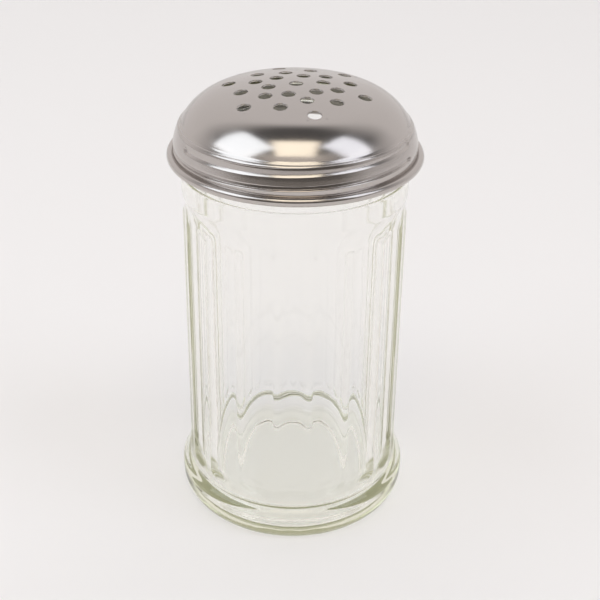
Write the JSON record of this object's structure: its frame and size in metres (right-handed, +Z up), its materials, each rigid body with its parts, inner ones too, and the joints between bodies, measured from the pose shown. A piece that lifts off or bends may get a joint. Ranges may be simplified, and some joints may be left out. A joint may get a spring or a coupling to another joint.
{
  "type": "restaurant spice shaker dispenser",
  "caption": "Fluted glass spice shaker jar with a perforated metal dome lid that screws on over a threaded neck.",
  "frame": {"origin": "centre of the ring that the jar stands on, at the table", "axes": "+Z up along the shaker's axis; -Y faces the picture's camera; +X to its right"},
  "size_m": [0.0764, 0.0764, 0.1389],
  "materials": {
    "glass": "clear pressed glass with a faint grey-green tint, fire-polished",
    "lid_steel": "drawn stainless sheet, satin with soft reflections and fine scratches",
    "rim_steel": "the same stainless sheet, rolled outwards, a little brighter on the bend"
  },
  "bodies": {
    "jar": {"glass_jar": "glass"},
    "rim": {"rolled_rim": "rim_steel"},
    "lid": {"dome_lid": "lid_steel"}
  },
  "joints": [
    {"name": "lid_lift", "type": "slide", "parent": "jar", "child": "rim", "axis": [0, 0, 1], "range_m": [0, 0.018]},
    {"name": "lid_turn", "type": "hinge", "parent": "rim", "child": "lid", "pos_m": [0, 0, 0.118], "axis": [0, 0, 1], "range_deg": [0, 1440]}
  ],
  "couplings": [
    {"joint": "lid_lift", "follows": "lid_turn", "m_per_rad": 0.0007162}
  ]
}
